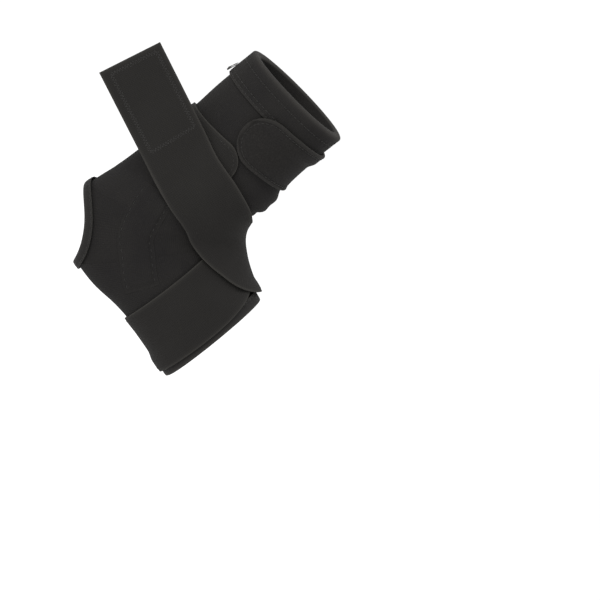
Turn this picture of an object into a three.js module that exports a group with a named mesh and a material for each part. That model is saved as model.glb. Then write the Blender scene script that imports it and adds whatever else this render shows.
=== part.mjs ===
// Ankle brace in the form it has when worn, in millimetres.
// +Z runs up the leg, +X toward the toes and -Y is the outer side of a right foot.
// The origin lies on the leg's axis at ankle height, where the brace sits.
import * as THREE from 'three';

// Form of the sleeve, measured on its outer face
const LEG_HEIGHT = 127; // ankle level up to the front of the top edge
const LEG_DEPTH = 80; // front to back at the cuff
const SOLE_DROP = 70; // ankle level down to the sole
const FOOT_REACH = 96; // leg axis forward to the foot opening
const FORM_WIDTH = 72; // side to side
const WALL = 3; // neoprene with a knitted face on both sides

// Trim and strap
const COLLAR_DEPTH = 21;
const COLLAR_LINING = 7; // part of the collar turned in over the edge
const COLLAR_THICKNESS = 1.6;
const BINDING_WIDTH = 5;
const BINDING_THICKNESS = 1.2;
const FOOT_HEM_WIDTH = 7;
const STRAP_WIDTH = 45;
const STRAP_THICKNESS = 1.8;
const STRAP_CORNER = 15; // radius of the corners at the sewn end
const TAIL_LENGTH = 88; // free strap, from where it leaves the ankle
const TAIL_SETTLE = 26; // length over which the tail goes from curved to flat
const PATCH_LENGTH = 58;
const PATCH_THICKNESS = 0.9;
const PATCH_MARGIN = 5; // edge of the strap left bare beside the patch
const PATCH_END_MARGIN = 3;
const TAB_WIDTH = 38;
const TAB_THICKNESS = 2.2;
const STAY_WIDTH = 25;
const STAY_THICKNESS = 1;

// Clearances
const SEAM_GAP = 0.4; // between faces that follow each other exactly
const LAY_GAP = 0.7; // under a soft band laid over another piece
const HEEL_GAP = 1; // under the binding of the heel opening, which curves both ways
const PASS_GAP = 1.6; // between the two passes of the strap

// Heel opening: where its edge meets the back of the heel and the sole, as
// shares of the leg's depth and the sole's drop, and how far it is hollowed
const HEEL_EDGE = { backUp: -0.43, soleOut: -0.06, hollow: 0.16 };

// Each row is one plane through the form, from the top edge round the ankle to
// the foot opening. Out is the share of the run from the leg to the foot opening
// at the front and at the back of the plane, up is a share of the leg's height
// or of the sole's drop, side a share of the width, taper how much narrower
// the back is than the front and lean how far the top turns to the inner side.
const SECTIONS = [
  { frontOut: -0.01, frontUp: 1.0, backOut: 0.0, backUp: 0.93, side: 1.0, taper: 0.02, lean: 0 },
  { frontOut: -0.01, frontUp: 0.866, backOut: 0.0, backUp: 0.79, side: 0.99, taper: 0.04, lean: 0 },
  { frontOut: 0.0, frontUp: 0.732, backOut: 0.003, backUp: 0.646, side: 0.97, taper: 0.06, lean: 0 },
  { frontOut: 0.03, frontUp: 0.614, backOut: 0.01, backUp: 0.512, side: 0.95, taper: 0.09, lean: 0 },
  { frontOut: 0.1, frontUp: 0.512, backOut: 0.011, backUp: 0.362, side: 0.95, taper: 0.12, lean: 0 },
  { frontOut: 0.077, frontUp: 0.425, backOut: 0.008, backUp: 0.22, side: 0.97, taper: 0.14, lean: 0 },
  { frontOut: 0.068, frontUp: 0.358, backOut: 0.004, backUp: 0.079, side: 1.0, taper: 0.14, lean: 0 },
  { frontOut: 0.089, frontUp: 0.303, backOut: -0.004, backUp: -0.114, side: 1.02, taper: 0.12, lean: 0.02 },
  { frontOut: 0.121, frontUp: 0.268, backOut: -0.018, backUp: -0.4, side: 1.02, taper: 0.1, lean: 0.05 },
  { frontOut: 0.15, frontUp: 0.246, backOut: -0.015, backUp: -0.686, side: 1.0, taper: 0.08, lean: 0.08 },
  { frontOut: 0.179, frontUp: 0.227, backOut: 0.058, backUp: -0.929, side: 0.99, taper: 0.06, lean: 0.12 },
  { frontOut: 0.212, frontUp: 0.21, backOut: 0.226, backUp: -0.985, side: 0.97, taper: 0.04, lean: 0.16 },
  { frontOut: 0.259, frontUp: 0.192, backOut: 0.394, backUp: -0.993, side: 0.96, taper: 0.02, lean: 0.2 },
  { frontOut: 0.343, frontUp: 0.167, backOut: 0.555, backUp: -0.943, side: 0.96, taper: 0, lean: 0.24 },
  { frontOut: 0.514, frontUp: 0.128, backOut: 0.708, backUp: -0.929, side: 0.97, taper: 0, lean: 0.28 },
  { frontOut: 0.736, frontUp: 0.093, backOut: 0.854, backUp: -0.943, side: 0.99, taper: 0, lean: 0.31 },
  { frontOut: 1.0, frontUp: 0.0725, backOut: 0.993, backUp: -0.964, side: 1.0, taper: 0, lean: 0.33 },
];

// Swellings of the form: station on the table above, turn round the section
// from the front over the outer side, reach along both and height
const SWELLINGS = [
  { station: 6.9, turn: 0.285, reach: 1.5, spread: 0.075, height: 3.2 },
  { station: 6.1, turn: 0.735, reach: 1.5, spread: 0.08, height: 3.2 },
  { station: 3.95, turn: 0.05, reach: 0.6, spread: 0.16, height: 1.2 },
  { station: 4.9, turn: -0.06, reach: 0.35, spread: 0.13, height: 1.1 },
  { station: 9.2, turn: 0.2, reach: 0.6, spread: 0.06, height: 1.0 },
];

// Middle line of the figure-of-eight strap from its sewn end to where the tail
// leaves the ankle, and the layers of strap that each part lies over
const STRAP_ROUTE = [
  { station: 4.3, turn: 0.2, layer: 0 },
  { station: 4.25, turn: 0.35, layer: 0 },
  { station: 4.15, turn: 0.5, layer: 0 },
  { station: 4.8, turn: 0.63, layer: 0 },
  { station: 6.4, turn: 0.77, layer: 0 },
  { station: 9.6, turn: 0.89, layer: 0 },
  { station: 12.9, turn: 1.01, layer: 0 },
  { station: 14.1, turn: 1.12, layer: 0 },
  { station: 14.5, turn: 1.25, layer: 0 },
  { station: 14.6, turn: 1.38, layer: 0 },
  { station: 14.65, turn: 1.52, layer: 0 },
  { station: 14.6, turn: 1.66, layer: 0 },
  { station: 14.5, turn: 1.78, layer: 0.15 },
  { station: 14.1, turn: 1.87, layer: 1 },
  { station: 14.2, turn: 2.01, layer: 1 },
  { station: 12.8, turn: 2.06, layer: 1 },
  { station: 7.6, turn: 2.093, layer: 1 },
  { station: 6.1, turn: 2.156, layer: 1 },
  { station: 5.16, turn: 2.262, layer: 1 },
];

// Middle line of the cuff tab, from its square sewn end to its round free end
const TAB_ROUTE = [
  { station: 1.9, turn: -0.3 },
  { station: 1.93, turn: -0.15 },
  { station: 1.97, turn: 0 },
  { station: 1.95, turn: 0.14 },
  { station: 1.98, turn: 0.272 },
];

// Middle line of the side stay, from under the tail to the midfoot band
const STAY_ROUTE = [
  { station: 6.6, turn: 0.285 },
  { station: 8.0, turn: 0.262 },
  { station: 9.4, turn: 0.248 },
  { station: 10.8, turn: 0.258 },
  { station: 12.7, turn: 0.306 },
];

const TAIL_DIRECTION = new THREE.Vector3(-0.978, -0.02, 0.208).normalize();

// Facets
const AROUND = 34;
const ROWS_ABOVE_HEEL = 14;
const ROWS_AT_HEEL = 14;
const ROWS_IN_FOOT = 7;
const BAND_STEP = 6;
const WALK_STEP = 3;

const black = (color, roughness) => new THREE.MeshStandardMaterial({ color, roughness, metalness: 0 });
const NEOPRENE = black(0x2a2929, 0.9);
const BINDING = black(0x323131, 0.85);
const ELASTIC = black(0x302f2f, 0.88);
const HOOK = black(0x242424, 0.75);

const LAST_STATION = SECTIONS.length - 1;
const FULL_TURN = 2 * Math.PI;

const mix = (a, b, share) => a + (b - a) * share;
const clamp = (value, low, high) => Math.min(high, Math.max(low, value));
const smooth = (share) => {
  const t = clamp(share, 0, 1);
  return t * t * (3 - 2 * t);
};

// Value of one column of a table between its rows, on a smooth curve through them
function column(table, name, place) {
  const last = table.length - 1;
  const row = clamp(Math.floor(place), 0, last - 1);
  const t = place - row;
  const at = (index) => {
    if (index < 0) return 2 * table[0][name] - table[1][name];
    if (index > last) return 2 * table[last][name] - table[last - 1][name];
    return table[index][name];
  };
  const [p0, p1, p2, p3] = [at(row - 1), at(row), at(row + 1), at(row + 2)];
  const cubic = -p0 + 3 * p1 - 3 * p2 + p3;
  const square = 2 * p0 - 5 * p1 + 4 * p2 - p3;
  return 0.5 * (2 * p1 + (p2 - p0) * t + square * t * t + cubic * t * t * t);
}

const upFrom = (share) => share * (share > 0 ? LEG_HEIGHT : SOLE_DROP);

// One plane of the form: its front and back points in the side view, and its shape
function section(station) {
  const value = (name) => column(SECTIONS, name, station);
  const half = LEG_DEPTH / 2;
  const front = new THREE.Vector2(mix(half, FOOT_REACH, value('frontOut')), upFrom(value('frontUp')));
  const back = new THREE.Vector2(mix(-half, FOOT_REACH, value('backOut')), upFrom(value('backUp')));
  return {
    middle: front.clone().add(back).multiplyScalar(0.5),
    reach: front.clone().sub(back).multiplyScalar(0.5),
    side: (value('side') * FORM_WIDTH) / 2,
    taper: value('taper'),
    lean: value('lean'),
  };
}

function smoothForm(station, angle) {
  const { middle, reach, side, taper, lean } = section(station);
  const along = Math.cos(angle);
  const across = side * (1 + taper * along) * Math.sin(angle) - lean * reach.length() * along;
  return new THREE.Vector3(middle.x + reach.x * along, -across, middle.y + reach.y * along);
}

function normalOf(surface, station, angle) {
  const step = 0.02;
  const down = surface(station + step, angle).sub(surface(station - step, angle));
  const round = surface(station, angle + step).sub(surface(station, angle - step));
  return round.cross(down).normalize();
}

function swelling(station, angle) {
  let height = 0;
  for (const bulge of SWELLINGS) {
    const along = (station - bulge.station) / bulge.reach;
    const turn = angle / FULL_TURN - bulge.turn;
    const round = (turn - Math.round(turn)) / bulge.spread;
    height += bulge.height * Math.exp(-along * along - round * round);
  }
  return height;
}

// Outer face of the sleeve
function form(station, angle) {
  const normal = normalOf(smoothForm, station, angle);
  return smoothForm(station, angle).addScaledVector(normal, swelling(station, angle));
}

// A spot on the form with its outward normal and the steps along station and angle
function spotAt(station, angle, surface = form) {
  const step = 0.01;
  const down = surface(station + step, angle).sub(surface(station - step, angle)).divideScalar(2 * step);
  const round = surface(station, angle + step).sub(surface(station, angle - step)).divideScalar(2 * step);
  const normal = round.clone().cross(down).normalize();
  return { station, angle, point: surface(station, angle), normal, down, round };
}

// Goes a distance over the form from a spot, straight on in a heading. Cloth
// stretches over a swelling without turning its edge, so the way is found
// without the swellings.
function walk(start, heading, distance) {
  const steps = Math.max(1, Math.ceil(Math.abs(distance) / WALK_STEP));
  const step = distance / steps;
  let spot = spotAt(start.station, start.angle, smoothForm);
  const way = heading.clone();
  for (let i = 0; i < steps; i += 1) {
    way.addScaledVector(spot.normal, -way.dot(spot.normal)).normalize();
    const aa = spot.down.dot(spot.down);
    const ab = spot.down.dot(spot.round);
    const bb = spot.round.dot(spot.round);
    const a = spot.down.dot(way) * step;
    const b = spot.round.dot(way) * step;
    const whole = aa * bb - ab * ab;
    const station = spot.station + (a * bb - b * ab) / whole;
    spot = spotAt(station, spot.angle + (b * aa - a * ab) / whole, smoothForm);
  }
  return spotAt(spot.station, spot.angle);
}

const raised = (spot, height) => spot.point.clone().addScaledVector(spot.normal, height);

// Mesh from vertices and faces, turned so that its faces point out
function solid(name, points, faces, material) {
  let volume = 0;
  for (const [a, b, c] of faces) {
    volume += points[a].dot(points[b].clone().cross(points[c]));
  }
  const outward = volume < 0 ? faces.map(([a, b, c]) => [a, c, b]) : faces;
  const geometry = new THREE.BufferGeometry();
  const places = points.flatMap((point) => point.toArray());
  geometry.setAttribute('position', new THREE.Float32BufferAttribute(places, 3));
  geometry.setIndex(outward.flat());
  geometry.computeVertexNormals();
  const mesh = new THREE.Mesh(geometry, material);
  mesh.name = name;
  return mesh;
}

// Solid from rings of points with as many points each: a closed loop of them,
// or a row with an end face on its first and last ring
function ringSolid(name, rings, closed, material) {
  const size = rings[0].length;
  const faces = [];
  const spans = closed ? rings.length : rings.length - 1;
  for (let i = 0; i < spans; i += 1) {
    const here = i * size;
    const next = ((i + 1) % rings.length) * size;
    for (let j = 0; j < size; j += 1) {
      const k = (j + 1) % size;
      faces.push([here + j, next + j, next + k], [here + j, next + k, here + k]);
    }
  }
  if (!closed) {
    // A band's ring holds its lower face and then its upper face in reverse
    const last = (rings.length - 1) * size;
    for (let j = 0; j < size / 2 - 1; j += 1) {
      const top = size - 1 - j;
      faces.push([j, j + 1, top - 1], [j, top - 1, top]);
      faces.push([last + j, last + top - 1, last + j + 1], [last + j, last + top, last + top - 1]);
    }
  }
  return solid(name, rings.flat(), faces, material);
}

// Heel opening in the side view: an arc, hollowed toward the instep
function heelArc() {
  const top = new THREE.Vector2(-LEG_DEPTH / 2, HEEL_EDGE.backUp * SOLE_DROP);
  const foot = new THREE.Vector2(HEEL_EDGE.soleOut * LEG_DEPTH, -SOLE_DROP);
  const chord = foot.clone().sub(top);
  const hollow = HEEL_EDGE.hollow * chord.length();
  const radius = (chord.lengthSq() / 4 + hollow * hollow) / (2 * hollow);
  const outward = new THREE.Vector2(chord.y, -chord.x).normalize();
  const centre = top.clone().add(foot).multiplyScalar(0.5).addScaledVector(outward, radius - hollow);
  return { centre, radius };
}

// Share of a plane's half length at which the heel arc crosses it, from the front
function heelCut(station, arc) {
  const { middle, reach } = section(station);
  const offset = middle.clone().sub(arc.centre);
  const a = reach.lengthSq();
  const b = 2 * offset.dot(reach);
  const c = offset.lengthSq() - arc.radius * arc.radius;
  const root = b * b - 4 * a * c;
  return root > 0 ? (-b + Math.sqrt(root)) / (2 * a) : -2;
}

// How far round from the front a plane of the sleeve goes: half a turn, or less at the heel
function halfSpan(station, arc) {
  const cut = heelCut(station, arc);
  return cut > -1 ? Math.acos(Math.min(cut, 1)) : Math.PI;
}

function crossing(arc, from, to) {
  let [closed, open] = [from, to];
  for (let i = 0; i < 40; i += 1) {
    const station = (closed + open) / 2;
    if (heelCut(station, arc) > -1) open = station;
    else closed = station;
  }
  return (closed + open) / 2;
}

// Stations of the two ends of the heel opening, and of its middle
const HEEL_ARC = heelArc();
const HEEL_MIDDLE = 9.7;
const HEEL_TOP = crossing(HEEL_ARC, 6, HEEL_MIDDLE);
const HEEL_FOOT = crossing(HEEL_ARC, 13, HEEL_MIDDLE);
const heelStation = (turn) => mix(HEEL_TOP, HEEL_FOOT, (1 - Math.cos(turn)) / 2);

function sleeve() {
  const stations = [];
  for (let i = 0; i < ROWS_ABOVE_HEEL; i += 1) stations.push((HEEL_TOP * i) / ROWS_ABOVE_HEEL);
  for (let i = 0; i <= ROWS_AT_HEEL; i += 1) stations.push(heelStation((Math.PI * i) / ROWS_AT_HEEL));
  for (let i = 1; i <= ROWS_IN_FOOT; i += 1) {
    stations.push(mix(HEEL_FOOT, LAST_STATION, i / ROWS_IN_FOOT));
  }
  const open = (row) => row > ROWS_ABOVE_HEEL && row < ROWS_ABOVE_HEEL + ROWS_AT_HEEL;
  const points = [];
  const index = stations.map((station, row) => {
    const span = open(row) ? halfSpan(station, HEEL_ARC) : Math.PI;
    const layers = { outer: [], inner: [] };
    for (let j = 0; j < AROUND + (open(row) ? 1 : 0); j += 1) {
      const spot = spotAt(station, span * ((2 * j) / AROUND - 1));
      layers.outer.push(points.push(raised(spot, 0)) - 1);
      layers.inner.push(points.push(raised(spot, -WALL)) - 1);
    }
    if (!open(row)) {
      layers.outer.push(layers.outer[0]);
      layers.inner.push(layers.inner[0]);
    }
    return layers;
  });
  const faces = [];
  const quad = (a, b, c, d) => {
    const corners = [a, b, c, d].filter((corner, i, all) => corner !== all[(i + 3) % 4]);
    for (let i = 2; i < corners.length; i += 1) faces.push([corners[0], corners[i - 1], corners[i]]);
  };
  for (let row = 0; row < stations.length - 1; row += 1) {
    const [here, next] = [index[row], index[row + 1]];
    for (let j = 0; j < AROUND; j += 1) {
      quad(here.outer[j], here.outer[j + 1], next.outer[j + 1], next.outer[j]);
      quad(here.inner[j], next.inner[j], next.inner[j + 1], here.inner[j + 1]);
    }
    if (open(row) || open(row + 1)) {
      quad(here.outer[0], next.outer[0], next.inner[0], here.inner[0]);
      quad(here.outer[AROUND], here.inner[AROUND], next.inner[AROUND], next.outer[AROUND]);
    }
  }
  const [first, last] = [index[0], index[stations.length - 1]];
  for (let j = 0; j < AROUND; j += 1) {
    quad(first.outer[j], first.inner[j], first.inner[j + 1], first.outer[j + 1]);
    quad(last.outer[j], last.outer[j + 1], last.inner[j + 1], last.inner[j]);
  }
  return solid('sleeve', points, faces, NEOPRENE);
}

// Stations that the collar and the foot hem reach, where they reach furthest
const reached = (edge, distance) => edge.map(({ spot, inward }) => walk(spot, inward, distance).station);
const COLLAR_STATION = Math.max(...reached(roundEdge(0, 1), COLLAR_DEPTH));
const HEM_STATION = Math.min(...reached(roundEdge(LAST_STATION, -1), FOOT_HEM_WIDTH));
const HEM_RISE = 0.65; // stations before the hem where the strap starts to rise
const HEM_REST = 0.2; // and where it has risen

// Binding folded over an edge of the sleeve. Each edge spot has a heading into
// the sleeve's face; outside and lining are how far the two legs reach in.
function binding(name, edge, outside, lining, thickness, gap, material) {
  const rings = edge.map(({ spot, inward }) => {
    const leg = (distance, height) => {
      const there = distance > 0 ? walk(spot, inward, distance) : spot;
      return raised(there, height);
    };
    const beyond = (distance, height) => raised(spot, height).addScaledVector(inward, -distance);
    const [low, high] = [gap, gap + thickness];
    const round = 0.3 * thickness;
    return [
      leg(outside, low),
      leg(outside, high),
      leg(outside / 2, high),
      leg(0, high),
      beyond(high - round, high - round),
      beyond(high, -WALL / 2),
      beyond(high - round, -WALL - high + round),
      leg(0, -WALL - high),
      leg(lining, -WALL - high),
      leg(lining, -WALL - low),
      beyond(low, -WALL - low),
      beyond(low, low),
      leg(outside / 2, low),
    ];
  });
  return ringSolid(name, rings, true, material);
}

// Edge of the sleeve at one of its two round openings
function roundEdge(station, towards) {
  const edge = [];
  for (let j = 0; j < AROUND; j += 1) {
    const spot = spotAt(station, Math.PI * ((2 * j) / AROUND - 1));
    const inward = spot.normal.clone().cross(spot.round).normalize().multiplyScalar(towards);
    edge.push({ spot, inward });
  }
  return edge;
}

function heelEdge() {
  const count = 2 * ROWS_AT_HEEL;
  const spots = [];
  for (let j = 0; j < count; j += 1) {
    const turn = (FULL_TURN * j) / count;
    const station = heelStation(turn);
    const ends = j === 0 || 2 * j === count;
    const span = ends ? Math.PI : halfSpan(station, HEEL_ARC);
    spots.push(spotAt(station, 2 * j <= count ? span : FULL_TURN - span));
  }
  return spots.map((spot, j) => {
    const tangent = spots[(j + 1) % count].point.clone().sub(spots[(j + count - 1) % count].point);
    const inward = spot.normal.clone().cross(tangent).normalize();
    return { spot, inward };
  });
}

// Spots along a route on the form, with the direction of the route and the
// direction across it, a step of about BAND_STEP apart
function follow(route) {
  const place = (at) => spotAt(column(route, 'station', at), column(route, 'turn', at) * FULL_TURN);
  const fine = [];
  const samples = 12 * (route.length - 1);
  for (let i = 0; i <= samples; i += 1) fine.push((i / samples) * (route.length - 1));
  const lengths = [0];
  for (let i = 1; i < fine.length; i += 1) {
    lengths.push(lengths[i - 1] + place(fine[i]).point.distanceTo(place(fine[i - 1]).point));
  }
  const total = lengths[lengths.length - 1];
  const at = (distance) => {
    let i = 1;
    while (i < lengths.length - 1 && lengths[i] < distance) i += 1;
    return mix(fine[i - 1], fine[i], (distance - lengths[i - 1]) / (lengths[i] - lengths[i - 1]));
  };
  const frame = (distance) => {
    const spot = place(at(distance));
    const ahead = place(at(distance + 1)).point;
    const behind = place(at(distance - 1)).point;
    const along = ahead.sub(behind);
    along.addScaledVector(spot.normal, -along.dot(spot.normal)).normalize();
    return { spot, along, across: spot.normal.clone().cross(along), place: at(distance) };
  };
  return { total, frame };
}

// Places along a band, closer where its rounded end starts
function stops(total, corner) {
  const places = corner > 0 ? [0, 0.07, 0.25, 0.55, 1].map((share) => share * corner) : [0];
  const count = Math.ceil((total - corner) / BAND_STEP);
  for (let i = 1; i <= count; i += 1) places.push(corner + ((total - corner) * i) / count);
  return places;
}

// Half width of a band near an end with rounded corners
function halfWidth(width, corner, fromEnd) {
  const left = clamp(corner - fromEnd, 0, corner);
  return width / 2 - corner + Math.sqrt(corner * corner - left * left);
}

// Ring of a band: its lower face from one edge to the other, then its upper face back
function bandRing(frame, width, thickness, shares, lift) {
  const lower = [];
  const upper = [];
  for (const share of shares) {
    const spot = walk(frame.spot, frame.across, share * width);
    const height = lift(spot, frame);
    lower.push(raised(spot, height));
    upper.push(raised(spot, height + thickness));
  }
  return [...lower, ...upper.reverse()];
}

const STRAP_SHARES = [-1, -0.64, -0.24, 0.24, 0.64, 1];
const STRAP_LAYER = STRAP_THICKNESS + PASS_GAP;

// Height of the strap over the sleeve: it rides over the foot hem and over itself
function strapLift(spot, layer) {
  const overHem = smooth((spot.station - HEM_STATION + HEM_RISE) / (HEM_RISE - HEM_REST));
  return LAY_GAP + overHem * (SEAM_GAP + BINDING_THICKNESS) + layer * STRAP_LAYER;
}

function strapAndTail() {
  const { total, frame } = follow(STRAP_ROUTE);
  const lift = (spot, at) => strapLift(spot, clamp(column(STRAP_ROUTE, 'layer', at.place), 0, 1));
  const rings = stops(total, STRAP_CORNER).map((distance) => {
    const width = halfWidth(STRAP_WIDTH, STRAP_CORNER, distance);
    return bandRing(frame(distance), width, STRAP_THICKNESS, STRAP_SHARES, lift);
  });
  // The tail starts with the shape of the last ring and goes flat as it runs straight on
  const end = frame(total);
  const root = raised(end.spot, strapLift(end.spot, 1));
  const inward = TAIL_DIRECTION.clone().cross(end.across).normalize();
  const flatNormal = inward.dot(end.spot.normal) > 0 ? inward : inward.negate();
  const flatAcross = flatNormal.clone().cross(TAIL_DIRECTION);
  const shape = rings[rings.length - 1].map((point) => {
    const offset = point.clone().sub(root);
    return [offset.dot(end.along), offset.dot(end.across), offset.dot(end.spot.normal)];
  });
  const half = STRAP_SHARES.length;
  const count = Math.ceil(TAIL_LENGTH / BAND_STEP);
  const centre = root.clone();
  const rows = [];
  for (let i = 1; i <= count; i += 1) {
    const flat = smooth((TAIL_LENGTH * i) / count / TAIL_SETTLE);
    const direction = end.along.clone().lerp(TAIL_DIRECTION, flat).normalize();
    centre.addScaledVector(direction, TAIL_LENGTH / count);
    const across = end.across.clone().lerp(flatAcross, flat).normalize();
    const normal = direction.clone().cross(across).normalize();
    if (normal.dot(flatNormal) < 0) normal.negate();
    rows.push({ centre: centre.clone(), across, normal });
    rings.push(shape.map(([a, c, n], j) => {
      const share = STRAP_SHARES[j < half ? j : 2 * half - 1 - j];
      const thick = j < half ? 0 : STRAP_THICKNESS;
      return centre.clone()
        .addScaledVector(direction, a * (1 - flat))
        .addScaledVector(across, mix(c, (share * STRAP_WIDTH) / 2, flat))
        .addScaledVector(normal, mix(n, thick, flat));
    }));
  }
  return { strap: ringSolid('figure_eight_strap', rings, false, ELASTIC), end: rows[rows.length - 1] };
}

// Hook patch on the inner face of the flat part of the tail
function hookPatch({ centre, across, normal }) {
  const width = STRAP_WIDTH / 2 - PATCH_MARGIN;
  const rows = 6;
  const rings = [];
  for (let i = 0; i <= rows; i += 1) {
    const back = PATCH_END_MARGIN + (PATCH_LENGTH * i) / rows;
    const middle = centre.clone().addScaledVector(TAIL_DIRECTION, -back).addScaledVector(normal, -SEAM_GAP);
    const lower = [-1, 0, 1].map((share) => middle.clone().addScaledVector(across, share * width));
    const upper = lower.map((point) => point.clone().addScaledVector(normal, -PATCH_THICKNESS));
    rings.push([...lower, ...upper.reverse()]);
  }
  return ringSolid('strap_hook_patch', rings, false, HOOK);
}

// Tab round the front of the cuff, over the collar's lower half
function cuffTab() {
  const { total, frame } = follow(TAB_ROUTE);
  const corner = TAB_WIDTH / 2;
  const overCollar = SEAM_GAP + COLLAR_THICKNESS + LAY_GAP;
  const lift = (spot) => mix(overCollar, LAY_GAP, smooth((spot.station - COLLAR_STATION - 0.06) / 0.4));
  const shares = [-1, -0.62, -0.34, -0.06, 0.22, 0.6, 1];
  const rings = stops(total, corner).map((distance) => {
    const width = Math.max(halfWidth(TAB_WIDTH, corner, distance), 0.05 * corner);
    return bandRing(frame(total - distance), width, TAB_THICKNESS, shares, lift);
  });
  return ringSolid('cuff_tab', rings, false, NEOPRENE);
}

function sideStay() {
  const { total, frame } = follow(STAY_ROUTE);
  const shares = [-1, -0.5, 0, 0.5, 1];
  const rings = stops(total, 0).map((distance) => {
    return bandRing(frame(distance), STAY_WIDTH / 2, STAY_THICKNESS, shares, () => LAY_GAP);
  });
  return ringSolid('side_stay', rings, false, ELASTIC);
}

const { strap, end } = strapAndTail();
const cuffEdge = roundEdge(0, 1);
const footEdge = roundEdge(LAST_STATION, -1);
const hem = FOOT_HEM_WIDTH;
const brace = new THREE.Group();
brace.add(sleeve());
brace.add(binding('top_collar', cuffEdge, COLLAR_DEPTH, COLLAR_LINING, COLLAR_THICKNESS, SEAM_GAP, NEOPRENE));
brace.add(binding('foot_binding', footEdge, hem, hem, BINDING_THICKNESS, SEAM_GAP, BINDING));
brace.add(binding('heel_binding', heelEdge(), BINDING_WIDTH, BINDING_WIDTH, BINDING_THICKNESS, HEEL_GAP, BINDING));
brace.add(cuffTab());
brace.add(sideStay());
brace.add(strap);
brace.add(hookPatch(end));

export default brace;
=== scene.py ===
"""Soft ankle brace in its worn form: its cloth, bindings, strap and stitches over the packed model."""

import math

import bmesh
import bpy
import numpy as np
from mathutils import Matrix, Vector


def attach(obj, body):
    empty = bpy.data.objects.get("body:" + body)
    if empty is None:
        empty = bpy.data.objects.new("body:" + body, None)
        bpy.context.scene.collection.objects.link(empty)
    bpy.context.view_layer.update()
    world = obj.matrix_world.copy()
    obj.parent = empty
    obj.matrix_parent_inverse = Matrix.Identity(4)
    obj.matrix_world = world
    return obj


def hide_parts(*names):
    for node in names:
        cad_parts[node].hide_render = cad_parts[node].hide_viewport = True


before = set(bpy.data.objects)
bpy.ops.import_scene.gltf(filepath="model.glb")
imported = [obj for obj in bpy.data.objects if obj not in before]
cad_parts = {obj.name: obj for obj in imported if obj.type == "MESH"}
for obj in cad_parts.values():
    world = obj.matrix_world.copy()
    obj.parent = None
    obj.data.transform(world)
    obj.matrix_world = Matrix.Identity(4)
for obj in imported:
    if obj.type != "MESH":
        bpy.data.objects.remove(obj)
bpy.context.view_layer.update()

bl_info = {
    "name": "Ankle brace",
    "version": (1, 0, 0),
    "blender": (4, 5, 0),
    "location": "View3D > Sidebar > Brace",
    "description": "Makes the cloth pieces, seams and studio of a worn ankle brace",
    "category": "Add Mesh",
}

# Form of the sleeve's outer face, in metres, as the model's source has it
LEG_HEIGHT = 0.127
LEG_DEPTH = 0.080
SOLE_DROP = 0.070
FOOT_REACH = 0.096
FORM_WIDTH = 0.072
WALL = 0.003

# Clearances between the layers
SEAM_GAP = 0.0004
LAY_GAP = 0.0007
HEEL_GAP = 0.001
PASS_GAP = 0.0016

# Heel opening: height on the heel, place on the sole and how far it is hollowed
HEEL_EDGE_UP = -0.43
HEEL_EDGE_OUT = -0.06
HEEL_HOLLOW = 0.16
HEEL_MIDDLE = 9.7

# One plane through the form in each row, from the top edge to the foot opening:
# front out, front up, back out, back up, side, taper, lean
SECTIONS = np.array([
    (-0.01, 1.0, 0.0, 0.93, 1.0, 0.02, 0),
    (-0.01, 0.866, 0.0, 0.79, 0.99, 0.04, 0),
    (0.0, 0.732, 0.003, 0.646, 0.97, 0.06, 0),
    (0.03, 0.614, 0.01, 0.512, 0.95, 0.09, 0),
    (0.1, 0.512, 0.011, 0.362, 0.95, 0.12, 0),
    (0.077, 0.425, 0.008, 0.22, 0.97, 0.14, 0),
    (0.068, 0.358, 0.004, 0.079, 1.0, 0.14, 0),
    (0.089, 0.303, -0.004, -0.114, 1.02, 0.12, 0.02),
    (0.121, 0.268, -0.018, -0.4, 1.02, 0.1, 0.05),
    (0.15, 0.246, -0.015, -0.686, 1.0, 0.08, 0.08),
    (0.179, 0.227, 0.058, -0.929, 0.99, 0.06, 0.12),
    (0.212, 0.21, 0.226, -0.985, 0.97, 0.04, 0.16),
    (0.259, 0.192, 0.394, -0.993, 0.96, 0.02, 0.2),
    (0.343, 0.167, 0.555, -0.943, 0.96, 0, 0.24),
    (0.514, 0.128, 0.708, -0.929, 0.97, 0, 0.28),
    (0.736, 0.093, 0.854, -0.943, 0.99, 0, 0.31),
    (1.0, 0.0725, 0.993, -0.964, 1.0, 0, 0.33),
])

# Swellings of the form: station, turn, reach along, spread round and height in metres
SWELLINGS = (
    (6.9, 0.285, 1.5, 0.075, 0.0032),
    (6.1, 0.735, 1.5, 0.08, 0.0032),
    (3.95, 0.05, 0.6, 0.16, 0.0012),
    (4.9, -0.06, 0.35, 0.13, 0.0011),
    (9.2, 0.2, 0.6, 0.06, 0.001),
)

# Soft creases and folds of the sleeve where it bends, in the same columns
CREASES = (
    (5.15, 0.03, 0.12, 0.08, -0.0004),
    (4.7, 0.0, 0.42, 0.12, 0.0027),
    (5.6, 0.0, 0.4, 0.1, 0.002),
    (3.85, -0.01, 0.26, 0.1, 0.001),
    (7.0, 0.42, 0.2, 0.06, -0.0006),
    (5.4, 0.47, 0.2, 0.08, -0.0006),
    (6.2, 0.4, 0.16, 0.05, -0.0004),
    (3.4, 0.12, 0.14, 0.09, -0.0005),
    (12.2, 0.36, 0.3, 0.05, -0.0005),
    (10.4, 0.33, 0.35, 0.03, -0.0004),
)

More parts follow.
